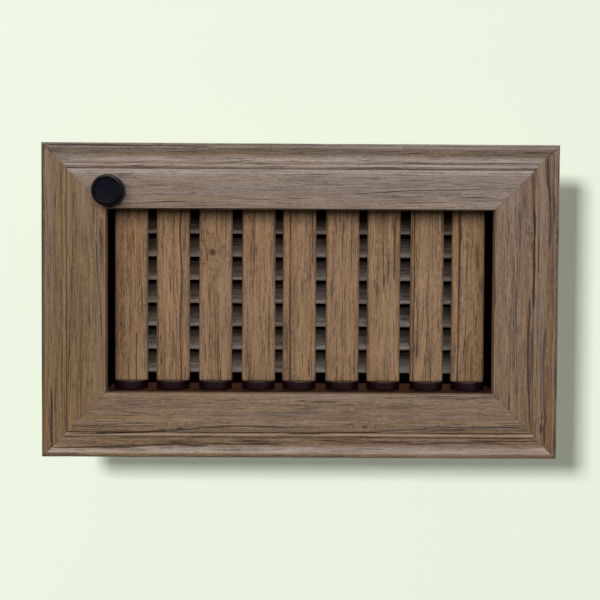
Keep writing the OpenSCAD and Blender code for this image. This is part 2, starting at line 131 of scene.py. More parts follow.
def spread(pitch, step):
    """Picks samples along a line so that they lie about a pitch apart: the running sum of
    step over pitch is cut into equal parts, and each part gives one sample."""
    rank = np.cumsum(step / pitch)
    count = int(rank[-1])
    return np.interp((np.arange(count) + 0.5) * rank[-1] / count, rank, np.arange(len(rank))).astype(int)


def ripple(x, y, seed):
    """Smooth noise from -1 to 1: random heights on a lattice one unit wide, blended between
    the four nearest by the smoothstep of the point's place in its square."""
    heights = np.random.default_rng(seed).uniform(-1, 1, (61, 61))
    column, row = np.floor(x).astype(int), np.floor(y).astype(int)
    u, v = x - column, y - row
    u, v = u * u * (3 - 2 * u), v * v * (3 - 2 * v)
    a, b = column % 61, row % 61
    c, d = (column + 1) % 61, (row + 1) % 61
    return (heights[a, b] * (1 - u) + heights[c, b] * u) * (1 - v) \
        + (heights[a, d] * (1 - u) + heights[c, d] * u) * v


def tube_mesh(name, grid):
    """Closed surface from a grid of points, rows along its length and columns around it:
    each square joins neighbours, columns wrap round, and one face closes each end."""
    rows, columns = grid.shape[:2]
    index = np.arange(rows * columns).reshape(rows, columns)
    wrapped = np.roll(index, -1, axis=1)
    squares = np.stack([index[:-1], wrapped[:-1], wrapped[1:], index[1:]], -1).reshape(-1, 4)
    mesh = bpy.data.meshes.new(name)
    mesh.from_pydata(grid.reshape(-1, 3), [], squares.tolist() + [index[0, ::-1].tolist(), index[-1].tolist()])
    facing = bmesh.new()
    facing.from_mesh(mesh)
    bmesh.ops.recalc_face_normals(facing, faces=facing.faces)
    facing.to_mesh(mesh)
    return mesh


def place(mesh, body, stands_for, smooth_to=38):
    """Makes a mesh a piece: smooth up to an angle, riding on its body in place of its node."""
    mesh.shade_smooth()
    mesh.set_sharp_from_angle(angle=math.radians(smooth_to))
    piece = bpy.data.objects.new(mesh.name, mesh)
    bpy.context.scene.collection.objects.link(piece)
    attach(piece, body)
    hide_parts(stands_for)
    return piece


def prism(outline, low, high, turn):
    """A straight closed block over a plane outline, from low to high along its own Z, turned
    and moved by a matrix."""
    block = bmesh.new()
    base = block.faces.new([block.verts.new((x, y, low)) for x, y in outline])
    side = bmesh.ops.extrude_face_region(block, geom=[base])["geom"]
    risen = [v for v in side if isinstance(v, bmesh.types.BMVert)]
    bmesh.ops.translate(block, vec=(0, 0, high - low), verts=risen)
    bmesh.ops.recalc_face_normals(block, faces=block.faces)
    mesh = bpy.data.meshes.new("block")
    block.to_mesh(mesh)
    mesh.transform(turn)
    return mesh


def carve(mesh, tools, way="DIFFERENCE"):
    """Cuts a list of closed blocks out of a mesh, or joins them to it, one after another."""
    work = bpy.data.objects.new("work", mesh)
    bpy.context.scene.collection.objects.link(work)
    spare = []
    for tool in tools:
        spare.append(bpy.data.objects.new("tool", tool))
        bpy.context.scene.collection.objects.link(spare[-1])
        cut = work.modifiers.new("cut", "BOOLEAN")
        cut.operation, cut.solver, cut.object = way, "MANIFOLD", spare[-1]
    carved = bpy.data.meshes.new_from_object(work.evaluated_get(bpy.context.evaluated_depsgraph_get()))
    for extra in [work] + spare:
        bpy.data.objects.remove(extra)
    name = mesh.name
    bpy.data.meshes.remove(mesh)
    carved.name = name
    return carved


def box_block(low, high):
    """A rectangular block between two corners."""
    outline = [(low[0], low[1]), (high[0], low[1]), (high[0], high[1]), (low[0], high[1])]
    return prism(outline, low[2], high[2], Matrix.Identity(4))


front_pitch, mould_pitch, crack_pitch, hidden_pitch = 0.0014, 0.00055, 0.0003, 0.0045
mitre_groove, mitre_groove_w = 0.0003, 0.0005
rail_softness = 0.0003


def rail_mesh(name, start, along, inward, cracks, seed):
    """One rail: the section carried along its length between two mitre planes. A column at
    distance s from the outer edge runs from s past the start to s before the end, with the
    surface let down at worn crests, at the two ends and at cracks, each of them a path of
    (distance along, distance in) with a width, all in millimetres, and a share of full depth.
    Some of these cracks are straight painted shade lines along the moulding's hollows, and all
    of them are kept as an attribute that darkens the colour."""
    outline, step = eased(rail_outline(), rail_softness)
    s, h = outline[:, 0], outline[:, 1]
    front = (h > 0.004) & (s < rail_w - 0.0003)
    pitch = np.where(front, np.where(s < 0.033, mould_pitch, front_pitch), hidden_pitch)
    pitch = np.where(np.hypot(s, h) < 0.001, crack_pitch, pitch)
    for path, _, _ in cracks:
        reach = [stop[1] / 1000 for stop in path]
        pitch = np.where(front & (s > min(reach) - 0.0012) & (s < max(reach) + 0.0012), crack_pitch, pitch)
    tangent = np.gradient(outline, axis=0)
    tangent /= np.linalg.norm(tangent, axis=1)[:, None]
    heading = np.unwrap(np.arctan2(tangent[:, 1], tangent[:, 0]))
    crest = np.clip(-np.gradient(heading) / step * 0.0009, -1, 1)
    keep = spread(pitch, step)
    s, h, crest, tangent, front = s[keep], h[keep], crest[keep], tangent[keep], front[keep]
    length = 2 * (frame_half_w if abs(along[0]) > 0.5 else frame_half_h)
    ends = [0, mitre_groove_w, 2 * mitre_groove_w]
    t = np.concatenate([ends, np.linspace(0.003, length - 0.003, int(length / 0.0019)), length - np.array(ends)[::-1]])
    share = (t / length)[:, None]
    x = s + share * (length - 2 * s)
    from_end = np.minimum(x - s, length - s - x)
    wave = 0.00012 * (ripple(x / 0.045, np.broadcast_to(s / 0.02, x.shape), seed) - 1)
    drop = np.where(front, 0.00016 * np.clip(ripple(x / 0.009, s[None] / 0.004 + x * 0, seed + 1), 0, 1) * np.clip(crest, 0, 1), 0)
    scar_and_shade_line = np.zeros_like(x)
    for n, (path, wide, deep) in enumerate(cracks):
        run, off = np.array(path).T / 1000
        middle = np.interp(x, run, off) + 0.0003 * ripple(x / 0.012, x * 0 + n, seed + 5 + n)
        taper = np.clip((x - run[0]) / 0.015, 0, 1) * np.clip((run[-1] - x) / 0.015, 0, 1)
        width = wide / 1000 * (0.8 + 0.35 * ripple(x / 0.02, x * 0 + n, seed + 15 + n)) * np.sqrt(taper) + 1e-6
        scar_and_shade_line = np.maximum(scar_and_shade_line, deep * np.exp(-((s - middle) / width) ** 2) * np.clip(taper * 3, 0, 1) * front)
    drop = drop + 0.0006 * scar_and_shade_line + np.where(front & (from_end < mitre_groove_w / 2), mitre_groove, 0)
    lift = np.where(front, wave, 0) - drop
    out_s, out_h = s - tangent[:, 1] * lift, h + tangent[:, 0] * lift
    start, along, inward = (np.array(v, float) for v in (start, along, inward))
    grid = start + x[..., None] * along + out_s[..., None] * inward + out_h[..., None] * np.array([0, -1, 0])
    mesh = tube_mesh(name, grid)
    rim = np.where(front, np.exp(-(np.maximum(s, 0) / 0.0029) ** 2.5), 0)
    bead_sheen = np.where(front, np.exp(-((s - bead_sheen_s) / bead_sheen_w) ** 2), 0)
    for label, value in (("crest", crest), ("crack_and_shade_line", scar_and_shade_line), ("rim", rim), ("bead_sheen", bead_sheen)):
        value = np.broadcast_to(value, x.shape)
        mesh.attributes.new(label, "FLOAT", "POINT").data.foreach_set("value", value.ravel().astype(np.float32))
    return mesh


# Seat of the neck, slots of the corner nails, pocket of the crank and hole of the bush.
neck_low, neck_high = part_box("neck_left")[0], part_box("neck_right")[1]
seat_fit = 0.00002
seat_block = box_block(
    (neck_low.x - seat_fit, neck_low.y, neck_low.z - seat_fit),
    (neck_high.x + seat_fit, 0.001, neck_high.z + seat_fit),
)
from_behind = Matrix.Rotation(math.pi / 2, 4, "X")
nail_leg, nail_half, nail_depth, nail_shares = 0.0075, 0.00045, 0.00905, (0.4, 0.72)


def nail_blocks():
    """Two slots at each corner of the frame, on the mitre line, their legs turned inward."""
    blocks = []
    for side_x in (-1, 1):
        for side_z in (-1, 1):
            for share in nail_shares:
                corner = np.array([side_x * (frame_half_w - rail_w * share), side_z * (frame_half_h - rail_w * share)])
                far, near = nail_leg - nail_half, nail_half
                angle = np.array([(-near, -near), (far, -near), (far, near), (near, near), (near, far), (-near, far)])
                blocks.append(prism(corner - angle * (side_x, side_z), -0.001, nail_depth, from_behind))
    return blocks


bush_low, bush_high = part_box("shaft_bush")
axle_x, axle_z = (bush_low.x + bush_high.x) / 2, (bush_low.z + bush_high.z) / 2
bush_r = 0.00502
crank_blocks = [
    box_block((neck_low.x + 0.003, -0.0095, 0.0895), (-0.1721, 0.001, 0.11774)),
    prism(arc(axle_x, axle_z, bush_r, 0, 351), -0.001, 0.02, from_behind),
]
rail_places = {
    "frame_bottom": ((-frame_half_w, 0, -frame_half_h), (1, 0, 0), (0, 0, 1)),
    "frame_right": ((frame_half_w, 0, -frame_half_h), (0, 0, 1), (-1, 0, 0)),
    "frame_top": ((frame_half_w, 0, frame_half_h), (-1, 0, 0), (0, 0, -1)),
    "frame_left": ((-frame_half_w, 0, frame_half_h), (0, 0, -1), (1, 0, 0)),
}
# The quirk, groove and ledge lines are painted shade: straight dark lines along the moulding's hollows, with a slight
# dent.
quirk = ([(0, 31.8), (520, 31.8)], 0.5, 0.25)
groove = ([(0, 20.4), (520, 20.4)], 0.7, 0.2)
ledge = ([(0, 25.6), (520, 25.6)], 0.45, 0.15)
rail_cracks_and_shade_lines = {
    "frame_bottom": [
        quirk, groove, ledge,
        ([(26, 23.7), (62, 24.4), (95, 25.4), (121, 26.8), (147, 28.3), (160, 30.8), (185, 31.8), (210, 31.7),
          (254, 30.7), (278, 30.4)], 0.85, 1.0),
        ([(240, 24.1), (274, 25.6), (329, 26.6), (361, 28.6), (380, 30.2), (391, 32.5), (410, 31.5),
          (435, 32.3), (480, 31.6)], 0.75, 1.0),
        ([(8, 8.8), (45, 9.4), (78, 9.9), (111, 11.5), (136, 12.5), (152, 11.0), (168, 12.7), (240, 12.7)], 0.8, 1.0),
        ([(360, 12.4), (394, 14.4), (419, 15.7), (452, 16.5), (496, 17.2)], 0.7, 1.0),
        ([(288, 20.7), (332, 20.6)], 0.5, 0.8),
    ],
    "frame_right": [
        quirk, groove, ledge,
        ([(146, 25.7), (163, 25.5), (177, 25.2), (213, 25.6), (230, 25.1), (256, 26.8), (284, 28.2)], 1.2, 1.0),
        ([(26, 27.2), (33, 27.6), (49, 28.6), (78, 30.6), (108, 31.2), (126, 31.0), (144, 29.6), (162, 30.3)], 1.1, 1.0),
        ([(10, 11.2), (31, 11.9), (39, 10.5), (59, 11.9), (78, 12.8), (108, 12.6), (132, 11.2)], 0.9, 1.0),
        ([(206, 9.4), (232, 8.6), (256, 9.0), (276, 10.8), (302, 11.3)], 0.9, 1.0),
        ([(232, 5.2), (264, 6.0)], 0.9, 0.7),
        ([(182, 18.8), (204, 19.4), (224, 19.8)], 0.5, 0.8),
    ],
    "frame_top": [
        quirk, groove, ledge,
        ([(40, 43.8), (75, 45.3), (108, 45.9), (140, 46.1), (164, 47.5), (187, 49.3), (208, 50.2)], 0.4, 0.8),
        ([(364, 57.8), (374, 58.1), (384, 58.6), (409, 60.3), (436, 61.9)], 0.45, 0.9),
        ([(278, 56.2), (300, 55.8), (317, 55.3), (340, 56.8)], 0.35, 0.6),
        ([(16, 18.6), (75, 18.8), (116, 19.4), (158, 18.8)], 0.5, 0.8),
        ([(340, 4.4), (400, 3.6), (460, 3.2), (508, 2.8)], 0.6, 0.8),
        ([(106, 57.6), (145, 59.0), (184, 61.3)], 0.3, 0.5),
    ],
    "frame_left": [
        quirk, groove, ledge,
        ([(95, 55.6), (125, 56.3), (157, 59.2), (176, 60.9), (195, 60.3)], 0.4, 0.9),
        ([(84, 33.1), (126, 31.2), (158, 30.6), (197, 29.1), (237, 27.7), (280, 26.2)], 0.35, 0.6),
        ([(16, 18.4), (60, 19.2), (118, 20.6), (136, 23.6)], 0.35, 0.7),
        ([(240, 9.2), (270, 9.2), (306, 9.6)], 0.55, 1.0),
        ([(236, 22.5), (252, 23.5), (290, 24.0)], 0.5, 0.9),
    ],
}
rails = {}
for seed, (name, (start, along, inward)) in enumerate(rail_places.items()):
    shape = rail_mesh(name + "_rail", start, along, inward, rail_cracks_and_shade_lines[name], 20 * seed)
    cutters = [seat_block.copy()] + nail_blocks() + (crank_blocks if name == "frame_top" else [])
    rails[name] = place(carve(shape, cutters), "root", name)


class Wire:
    """One output socket of a shader tree. Sums on wires, such as 1 - mask, add Math nodes."""

    def __init__(self, tree, socket=None):
        self.tree = tree
        self.socket = socket

    def node(self, kind, sockets=None, out=0, stops=(), **settings):
        """Adds a node of a type with its settings, then gives its sockets their values or
        links, and returns the wire of one output."""
        made = self.tree.nodes.new("ShaderNode" + kind)
        for name, value in settings.items():
            setattr(made, name, value)
        for n, (where, colour) in enumerate(stops):
            element = made.color_ramp.elements[n] if n < 2 else made.color_ramp.elements.new(where)
            element.position = where
            element.color = colour
        for name, value in (sockets or {}).items():
            if isinstance(value, Wire):
                self.tree.links.new(value.socket, made.inputs[name])
            else:
                made.inputs[name].default_value = value
        return Wire(self.tree, made.outputs[out]) if made.outputs else made

    def sum(self, operation, first, second=0.0, third=0.0):
        return self.node("Math", {0: first, 1: second, 2: third}, operation=operation)

    def __add__(self, other):
        return self.sum("ADD", self, other)

    def __radd__(self, other):
        return self.sum("ADD", other, self)

    def __sub__(self, other):
        return self.sum("SUBTRACT", self, other)

    def __rsub__(self, other):
        return self.sum("SUBTRACT", other, self)

    def __mul__(self, other):
        return self.sum("MULTIPLY", self, other)

    def __rmul__(self, other):
        return self.sum("MULTIPLY", other, self)

    def __truediv__(self, other):
        return self.sum("DIVIDE", self, other)

    def between(self, low, high):
        """0 below low, 1 above high, and a smooth rise between them."""
        return self.node("MapRange", {"Value": self, "From Min": low, "From Max": high},
                         interpolation_type="SMOOTHSTEP")

    def stretched(self, factors):
        """A vector with each part multiplied by its own factor."""
        return self.node("VectorMath", {0: self, 1: factors}, operation="MULTIPLY")

    def moved(self, other):
        """The sum of two vectors."""
        return self.node("VectorMath", {0: self, 1: other}, operation="ADD")

    def tinted(self, other, amount):
        """This colour mixed towards another by an amount."""
        return self.node("Mix", {0: amount, 6: self, 7: other}, out=2, data_type="RGBA")


def tone(code):
    """Linear colour of a web colour."""
    parts = [int(code[k:k + 2], 16) / 255 for k in (1, 3, 5)]
    return tuple(((p + 0.055) / 1.055) ** 2.4 if p > 0.04045 else p / 12.92 for p in parts) + (1.0,)


def finish(name, pieces, paint):
    """Makes a material with a principled shader, whose sockets the paint function fills."""
    stuff = bpy.data.materials.new(name)
    stuff.use_nodes = True
    stuff.node_tree.nodes.clear()
    start = Wire(stuff.node_tree)
    shader = start.node("BsdfPrincipled", paint(start))
    start.node("OutputMaterial", {"Surface": shader})
    for piece in pieces:
        piece.data.materials.clear()
        piece.data.materials.append(stuff)
    return stuff


def timber(along, tones, seed, contrast=1.0, lines=1.0, knots=(), rim_dark=None, bead_sheen=0.0, painted_shade_and_highlight=False):
    """Weathered oak: long fibres, fine fibres, broad bands, dark streaks and thin lines are
    noises stretched along the grain, in millimetres. Knots push the grain aside in rings.
    The outer rim of a rail is darker. Its crests are paler, as wear and painted highlight, its hollows darker as
    painted shade, and a painted sheen makes the bottom rail's bead paler.
    Painted shade darkens a bar towards its upper edge, and a painted highlight leaves its lower edge paler."""
    deep, middle, pale, grey, gold = (tone(code) for code in tones)

    def paint(start):
        turn = (0, 0, 0) if along == "X" else (0, math.pi / 2, 0)
        coordinates = start.node("TexCoord", out="Object")
        grain = start.node("Mapping", {"Vector": coordinates, "Scale": (1000, 1000, 1000),
                                       "Rotation": turn, "Location": (seed * 531, seed * 77, 0)})
        sway = start.node("TexNoise", {"Vector": grain.stretched((1 / 90, 1 / 22, 1 / 22)), "Scale": 1,
                                       "Detail": 1}, out="Color").moved((-0.5, -0.5, -0.5))
        bent = grain.moved(sway.stretched((0, 3.5, 3.5)))
        knot_dark = None
        for x, z, reach, slim in knots:
            apart = coordinates.moved((-x, 0, -z)).stretched((1000, 0, 1000))
            apart = apart.stretched((slim, 0, 1) if along == "X" else (1, 0, slim))
            away = start.node("VectorMath", {0: apart}, out="Value", operation="LENGTH")
            near = 1 - away.between(reach * 0.3, reach * 2.2)
            bent = bent.moved(start.node("CombineXYZ", {1: near * away * 0.9, 2: near * away * 0.7}))
            ink = 1 - away.between(reach * 0.15, reach * 0.6)
            knot_dark = ink if knot_dark is None else start.sum("MAXIMUM", knot_dark, ink)

        def noise(long, wide, detail=0.0, distortion=0.0):
            return start.node("TexNoise", {"Vector": bent.stretched((1 / long, 1 / wide, 1 / wide)), "Scale": 1,
                                           "Detail": detail, "Distortion": distortion})

        fibres = noise(40, 1.2, 2)
        fine = noise(4.5, 0.5, 2)
        bands = noise(150, 6, 2)
        streaks = noise(34, 0.7, 1).between(0.57, 0.72)
        edge = start.sum("ABSOLUTE", noise(260, 2.6, 1) - 0.5)
        thin = (1 - edge.between(0.004, 0.028)) * noise(60, 6).between(0.50, 0.60) * lines
        value = 0.6 + (fibres - 0.5) * (0.75 * contrast) + (fine - 0.5) * (1.1 * contrast) \
            + (bands - 0.5) * (0.6 * contrast) - streaks * (0.5 * contrast) - thin * 0.6
        if knot_dark is not None:
            value = value - knot_dark * 0.5
        if rim_dark is not None:
            # Paler crests are wear and painted highlight, darker hollows are painted shade, and the paler bead is a
            # painted sheen.
            crest = start.node("Attribute", attribute_name="crest", out="Fac")
            # Darker along cracks, and along the painted shade lines in the rails' hollows.
            crack_and_shade_line = start.node("Attribute", attribute_name="crack_and_shade_line", out="Fac")
            rim = start.node("Attribute", attribute_name="rim", out="Fac")
            bead = start.node("Attribute", attribute_name="bead_sheen", out="Fac")
            value = value + crest * 0.3 + bead * bead_sheen - crack_and_shade_line * 0.8 - rim * rim_dark
        colour = start.node("ValToRGB", {"Fac": value}, stops=(
            (0.0, tuple(0.45 * c for c in deep[:3]) + (1,)), (0.27, deep), (0.5, middle), (0.78, pale)))
        colour = colour.tinted(grey, noise(160, 5, 1).between(0.5, 0.8) * 0.4)
        colour = colour.tinted(gold, noise(330, 3.2, 1).between(0.52, 0.68) * 0.45)
        # Painted shade on a slat's upper part and a painted highlight along its lower edge.
        if painted_shade_and_highlight:
            rise = start.node("Attribute", attribute_name="rise", out="Fac")
            colour = colour.tinted(tone("#100d0b"), rise.between(0.05, 1.05) * 0.85)
            colour = colour.tinted(tone("#d6d2cc"), (1 - rise.between(0.0, 0.2)) * 0.4)
        bump = start.node("Bump", {"Height": value, "Distance": 0.00016, "Strength": 1.0})
        rough = 0.5 - (value - 0.5) * 0.25
        return {"Base Color": colour, "Roughness": rough, "Normal": bump, "Specular IOR Level": 0.25}

    return paint


# Each rail has its own tones, as cut from a different stretch of foil. The top rail's greyer, paler tones also stand in
# for a painted sheen of the light from above.
finish("oak_foil_top", [rails["frame_top"]], timber(
    "X", ("#5d4d3f", "#796757", "#958476", "#8a7c7a", "#85694c"), 1, 0.9, rim_dark=0.4))
finish("oak_foil_bottom", [rails["frame_bottom"]], timber(
    "X", ("#564030", "#755d46", "#947d66", "#85736c", "#89683f"), 2, 0.9, rim_dark=0.4, bead_sheen=0.28, knots=((-0.1178, -0.1262, 4, 0.5), (0.0644, -0.1233, 3, 0.5))))
finish("oak_foil_left", [rails["frame_left"]], timber(
    "Z", ("#56402a", "#73583f", "#8e7451", "#7d6e60", "#86643a"), 3, rim_dark=0.8))
finish("oak_foil_right", [rails["frame_right"]], timber(
    "Z", ("#523d2b", "#725840", "#90765a", "#7b6c66", "#86623b"), 4, rim_dark=0.35, knots=((0.228, 0.0556, 5, 0.45), (0.241, -0.1257, 4, 0.3))))


# The upright blades: flat bars of the same oak with fully rounded edges, turned by hand on
# pins in their end caps. Each end is slotted for the cap's tongue.
blade_count = 9
cap_more = 0.0020
tongue_w, tongue_t, tongue_depth = 0.0204, 0.00315, 0.0095


def stadium(width, thickness):
    """Closed section of a flat bar with fully rounded edges: two straight sides and two half
    circles, as points about the middle."""
    flat, r = (width - thickness) / 2, thickness / 2
    ends = [arc(flat, 0, r, 90, -90), arc(-flat, 0, r, 270, 90)]
    return np.concatenate(ends + [ends[0][:1]])


def bar_mesh(name, width, thickness, low, high, place_point, seed, cracks=()):
    """A flat bar: its section carried from low to high, with eased ends, a slight waviness,
    and the surface let down at cracks; place_point turns (across, along, out) into X, Y, Z."""
    outline, step = eased(stadium(width, thickness), 0.0001)
    a, b = outline[:, 0], outline[:, 1]
    pitch = np.where(abs(b) > thickness / 2 - 0.0001, 0.0016, 0.0006)
    for crack_and_shade_line in cracks:
        pitch = np.where((b > 0) & (abs(a - crack_and_shade_line["s"]) < 0.002), crack_pitch, pitch)
    keep = spread(pitch, step)
    tangent = np.gradient(outline, axis=0)
    tangent /= np.linalg.norm(tangent, axis=1)[:, None]
    a, b, tangent = a[keep], b[keep], tangent[keep]
    ease = 0.0005
    t = np.concatenate([[0, ease * 0.3, ease], np.linspace(0.003, high - low - 0.003, int((high - low) / 0.0025)),
                        high - low - np.array([ease, ease * 0.3, 0])])[:, None]
    from_end = np.minimum(t, high - low - t)
    lift = 0.00008 * ripple(t / 0.05, a[None] / 0.012 + t * 0, seed)
    lift = lift - ease * (1 - np.sqrt(1 - np.clip(1 - from_end / ease, 0, 1) ** 2))
    scar_and_shade_line = np.zeros((len(t), len(a)))
    for n, crack_and_shade_line in enumerate(cracks):
        middle = crack_and_shade_line["s"] + crack_and_shade_line["sway"] * ripple(t / 0.05, t * 0 + n, seed + 3)
        taper = np.clip((t - crack_and_shade_line["from"]) / 0.02 + 0.2, 0, 1) * np.clip((crack_and_shade_line["to"] - t) / 0.02 + 0.2, 0, 1)
        scar_and_shade_line = np.maximum(scar_and_shade_line, np.exp(-((a - middle) / (crack_and_shade_line["w"] * np.sqrt(taper) + 1e-6)) ** 2) * (b > 0) * np.clip(3 * taper, 0, 1))
    lift = lift - 0.0005 * scar_and_shade_line
    out_a, out_b = a - tangent[:, 1] * lift, b + tangent[:, 0] * lift
    grid = place_point(out_a, low + t + 0 * out_a, out_b)
    mesh = tube_mesh(name, grid)
    for label, value in (("crack_and_shade_line", scar_and_shade_line), ("rise", 0.5 + a / width + 0 * scar_and_shade_line)):
        mesh.attributes.new(label, "FLOAT", "POINT").data.foreach_set("value", value.ravel().astype(np.float32))
    return mesh


blade_cracks = {
    2: [{"s": 0.0085, "from": -0.05, "to": 0.25, "w": 0.0006, "sway": 0.0012}],
    5: [{"s": -0.0095, "from": -0.05, "to": 0.25, "w": 0.0006, "sway": 0.0006}],
    8: [{"s": -0.0135, "from": -0.05, "to": 0.25, "w": 0.0005, "sway": 0.0006}],
    9: [{"s": -0.0100, "from": -0.05, "to": 0.25, "w": 0.0007, "sway": 0.0008}],
}
blades = []
for n in range(1, blade_count + 1):
    low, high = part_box(f"front_blade_{n}")
    middle_x, middle_y = (low.x + high.x) / 2, (low.y + high.y) / 2
    foot_z, head_z = low.z + cap_more, high.z - cap_more
    shape = bar_mesh(f"blade_{n}", high.x - low.x, high.y - low.y, foot_z, head_z,
                     lambda a, t, b: np.stack([middle_x + a, middle_y - b, t], -1), 100 + n,
                     blade_cracks.get(n, ()))
    slots = [box_block((middle_x - tongue_w / 2, middle_y - tongue_t / 2, z),
                       (middle_x + tongue_w / 2, middle_y + tongue_t / 2, z + 2 * tongue_depth))
             for z in (foot_z - tongue_depth, head_z - tongue_depth)]
    blades.append(place(carve(shape, slots), f"blade_{n}", f"front_blade_{n}"))
finish("oak_blades", blades, timber("Z", ("#5b402b", "#7f6143", "#9e7e5d", "#86735f", "#906a42"), 5, 1.1, rim_dark=0.0, knots=((-0.0895, 0.0488, 7, 0.8),)))


# The blades' end caps: round, dark, glossy discs of moulded plastic, each with a pivot pin
# that turns in the neck's board and a tongue that is glued into the blade.
def lathe(name, outline, facets=96, turn=Matrix.Identity(4)):
    """A turned solid: radius times (cosine, sine) of the angle at each height of the outline,
    which runs from the axis below to the axis above; the poles are single points."""
    outline = np.array(outline, float)
    ring, ends = outline[1:-1], outline[[0, -1]]
    angle = np.linspace(0, 2 * math.pi, facets, endpoint=False)
    grid = np.stack([ring[:, :1] * np.cos(angle), ring[:, :1] * np.sin(angle), ring[:, 1:] + 0 * angle], -1)
    index = np.arange(len(ring) * facets).reshape(len(ring), facets)
    wrapped = np.roll(index, -1, axis=1)
    squares = np.stack([index[:-1], wrapped[:-1], wrapped[1:], index[1:]], -1).reshape(-1, 4).tolist()
    under, over = index.size, index.size + 1
    caps = [(under, b, a) for a, b in zip(index[0], wrapped[0])] + [(over, a, b) for a, b in zip(index[-1], wrapped[-1])]
    points = np.concatenate([grid.reshape(-1, 3), [(0, 0, z) for z in ends[:, 1]]])
    mesh = bpy.data.meshes.new(name)
    mesh.from_pydata(points, [], squares + [tuple(int(k) for k in f) for f in caps])
    mesh.transform(turn)
    return mesh


cap_t, cap_edge, pin_r, pin_over, tongue_l = 0.0065 + cap_more, 0.0006, 0.002, 0.0031, 0.009
caps = []
for n in range(1, blade_count + 1):
    low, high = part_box(f"front_caps_{n}")
    middle = Vector(((low.x + high.x) / 2, (low.y + high.y) / 2, 0))
    radius = (high.x - low.x) / 2
    outline = np.concatenate([
        [(0, -pin_over), (pin_r - 0.0003, -pin_over), (pin_r, 0.0003 - pin_over), (pin_r, 0)],
        arc(radius - cap_edge, cap_edge, cap_edge, -90, 0), arc(radius - cap_edge, cap_t - cap_edge, cap_edge, 0, 90),
        [(0, cap_t)],
    ])
    halves = []
    for z, turn in ((low.z + pin_over, Matrix.Identity(4)), (high.z - pin_over, Matrix.Rotation(math.pi, 4, "Y"))):
        disc = lathe("cap", outline)
        tongue = box_block((-tongue_w / 2, -tongue_t / 2, cap_t - 0.001), (tongue_w / 2, tongue_t / 2, cap_t + tongue_l))
        whole = carve(disc, [tongue], "UNION")
        whole.transform(Matrix.Translation(middle + Vector((0, 0, z))) @ turn)
        halves.append(whole)
    pair = bmesh.new()
    for half in halves:
        pair.from_mesh(half)
    mesh = bpy.data.meshes.new(f"end_caps_{n}")
    pair.to_mesh(mesh)
    caps.append(place(mesh, f"blade_{n}", f"front_caps_{n}"))


def plastic(colour, roughness, grit, specular=0.5, coat=0.0):
    """Moulded plastic: an even colour with a faint cloudiness, and a fine grit in its gloss."""
    def paint(start):
        coordinates = start.node("TexCoord", out="Object")
        cloud = start.node("TexNoise", {"Vector": coordinates, "Scale": 160, "Detail": 3})
        speck = start.node("TexNoise", {"Vector": coordinates, "Scale": 2600, "Detail": 2})
        base = start.node("ValToRGB", {"Fac": cloud}, stops=(
            (0.3, tuple(0.75 * c for c in tone(colour)[:3]) + (1,)), (0.7, tone(colour))))
        bump = start.node("Bump", {"Height": speck, "Distance": grit, "Strength": 0.6})
        return {"Base Color": base, "Roughness": (cloud - 0.5) * 0.25 + roughness, "Normal": bump,
                "Specular IOR Level": specular, "Coat Weight": coat}
    return paint


finish("plum_gloss", caps, plastic("#1c0b0f", 0.24, 0.00001, 0.09))


# The rear slats: level strips of the same oak, lower edges forward, seen as dim bands in the
# gaps between the blades. Their end plates carry the pivots and the arms.
slat_count = 7
slat_tilt = math.radians(39)
slat_w, slat_t = 0.0255, 0.004
slat_tongue_w, slat_tongue_t, slat_tongue_depth = 0.014025, 0.0016, 0.0065
slats = []
for n in range(1, slat_count + 1):
    low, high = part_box(f"rear_slat_{n}")
    middle_y, middle_z = (low.y + high.y) / 2, (low.z + high.z) / 2
    shape = bar_mesh(f"slat_{n}", slat_w, slat_t, low.x, high.x, lambda a, t, b: np.stack([
        t, middle_y - a * math.sin(slat_tilt) * -1 - b * math.cos(slat_tilt),
        middle_z + a * math.cos(slat_tilt) + b * math.sin(slat_tilt)], -1), 200 + n)
    lean = Matrix.Translation((0, middle_y, middle_z)) @ Matrix.Rotation(-slat_tilt, 4, "X")
    slots = []
    for x in (low.x - slat_tongue_depth, high.x - slat_tongue_depth):
        slot = box_block((x, -slat_tongue_t / 2, -slat_tongue_w / 2),
                         (x + 2 * slat_tongue_depth, slat_tongue_t / 2, slat_tongue_w / 2))
        slot.transform(lean)
        slots.append(slot)
    slats.append(place(carve(shape, slots), f"slat_{n}", f"rear_slat_{n}"))
finish("oak_slats", slats, timber("X", ("#544a42", "#7b6f65", "#a2978e", "#8c8782", "#76675c"), 7, 1.2, painted_shade_and_highlight=True))
finish("black_nylon", [nodes[f"rear_{kind}_{n}"] for kind in ("arm", "pivot") for n in range(1, slat_count + 1)],
       plastic("#0a090a", 0.6, 0.00002, 0.0))


# The neck: four boards of thin black-painted hardboard, let into the frame's back. They carry
# every pivot and slide into the duct. Seven countersunk screws hold them in the rails.
def hardboard(start):
    coordinates = start.node("TexCoord", out="Object")
    fibre = start.node("TexNoise", {"Vector": coordinates, "Scale": 900, "Detail": 4})
    mesh_x = start.node("TexWave", {"Vector": coordinates, "Scale": 210, "Distortion": 0.6}, bands_direction="DIAGONAL")
    worn = start.node("TexNoise", {"Vector": coordinates, "Scale": 35, "Detail": 5}).between(0.62, 0.72)
    colour = start.node("ValToRGB", {"Fac": fibre}, stops=((0.3, tone("#040304")), (0.75, tone("#0b0909"))))
    colour = colour.tinted(tone("#1c110b"), worn * 0.5)
    # Faces that look up are tinted paler brown: painted light from above on them, together with dust.
    facing = start.node("SeparateXYZ", {0: start.node("NewGeometry", out="Normal")}, out=2)
    colour = colour.tinted(tone("#4a3226"), facing.between(0.7, 0.95))
    bump = start.node("Bump", {"Height": fibre + mesh_x * 0.3, "Distance": 0.00012, "Strength": 1.0})
    return {"Base Color": colour, "Roughness": 0.85 + (fibre - 0.5) * 0.3, "Normal": bump,
            "Specular IOR Level": 0.0}


